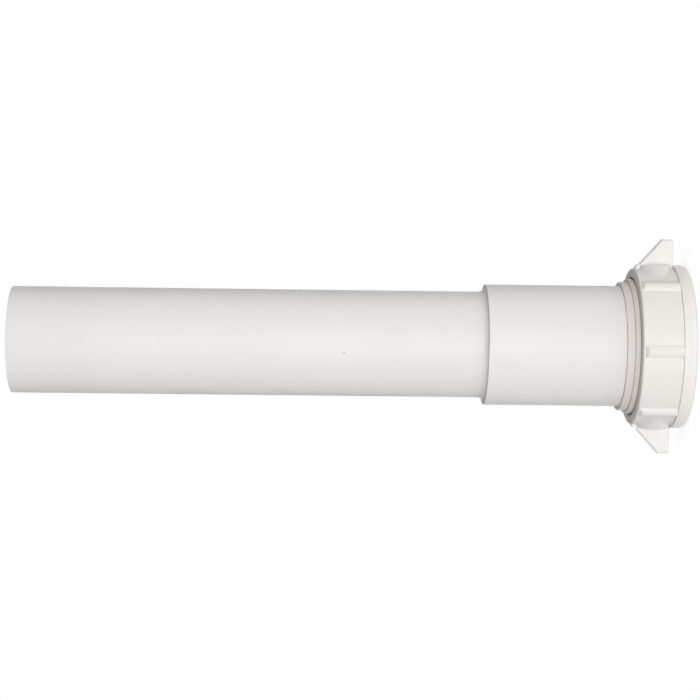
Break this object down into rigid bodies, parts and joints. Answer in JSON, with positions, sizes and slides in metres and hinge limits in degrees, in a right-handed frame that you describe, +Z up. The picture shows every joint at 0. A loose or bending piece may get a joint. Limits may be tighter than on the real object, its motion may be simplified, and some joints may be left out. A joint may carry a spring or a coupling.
{
  "type": "drain extension tube",
  "caption": "Off-white plastic drain extension tube with a plain spigot, a bell socket and a winged slip nut that turns on the threaded end of the socket.",
  "frame": {"origin": "on the tube's axis, at the flat foot of the slip nut, on which the part stands", "axes": "+Z up along the tube's axis, from the nut towards the plain spigot; the wings of the nut lie along X"},
  "size_m": [0.0644, 0.049, 0.2009],
  "materials": {
    "tube_plastic": "smooth satin moulding",
    "nut_plastic": "smooth satin moulding",
    "washer_plastic": "soft waxy moulding"
  },
  "bodies": {
    "tube": {"extension_tube": "tube_plastic"},
    "washer": {"slip_washer": "washer_plastic"},
    "nut": {"slip_nut": "nut_plastic"}
  },
  "joints": [
    {"name": "washer_slide", "type": "slide", "parent": "tube", "child": "washer", "axis": [0, 0, -1], "range_m": [0, 0.01105]},
    {"name": "nut_turn", "type": "hinge", "parent": "washer", "child": "nut", "pos_m": [0, 0, 0.0085], "axis": [0, 0, -1], "range_deg": [0, 1800]}
  ],
  "couplings": [
    {"joint": "washer_slide", "follows": "nut_turn", "m_per_rad": 0.00035153}
  ]
}
